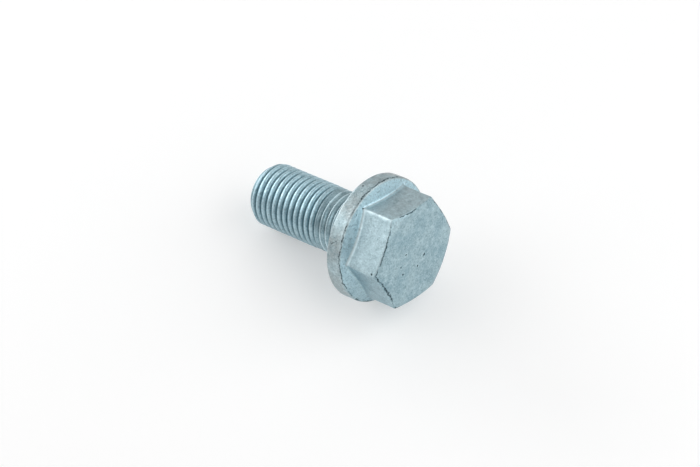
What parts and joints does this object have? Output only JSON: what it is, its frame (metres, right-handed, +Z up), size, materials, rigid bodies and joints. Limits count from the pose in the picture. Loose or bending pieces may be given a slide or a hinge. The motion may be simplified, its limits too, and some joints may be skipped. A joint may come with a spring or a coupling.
{
  "type": "flange bolt",
  "caption": "Hexagon-headed bolt forged in one piece with a round flange that spreads its clamping load, and a fine-threaded shank.",
  "frame": {"origin": "on the ground, under the middle of the bolt as it lies on its flange rim and its point", "axes": "+X along the ground from the point towards the head, +Z up; the bolt's own axis lies in the XZ plane and climbs towards the head by 13.5 degrees"},
  "size_m": [0.0434, 0.0272, 0.027],
  "materials": {
    "zinc_plated_steel": "electroplated zinc with a blue-white passivation over forged steel, satin and slightly mottled"
  },
  "bodies": {
    "root": {"flange_bolt": "zinc_plated_steel"}
  },
  "joints": []
}
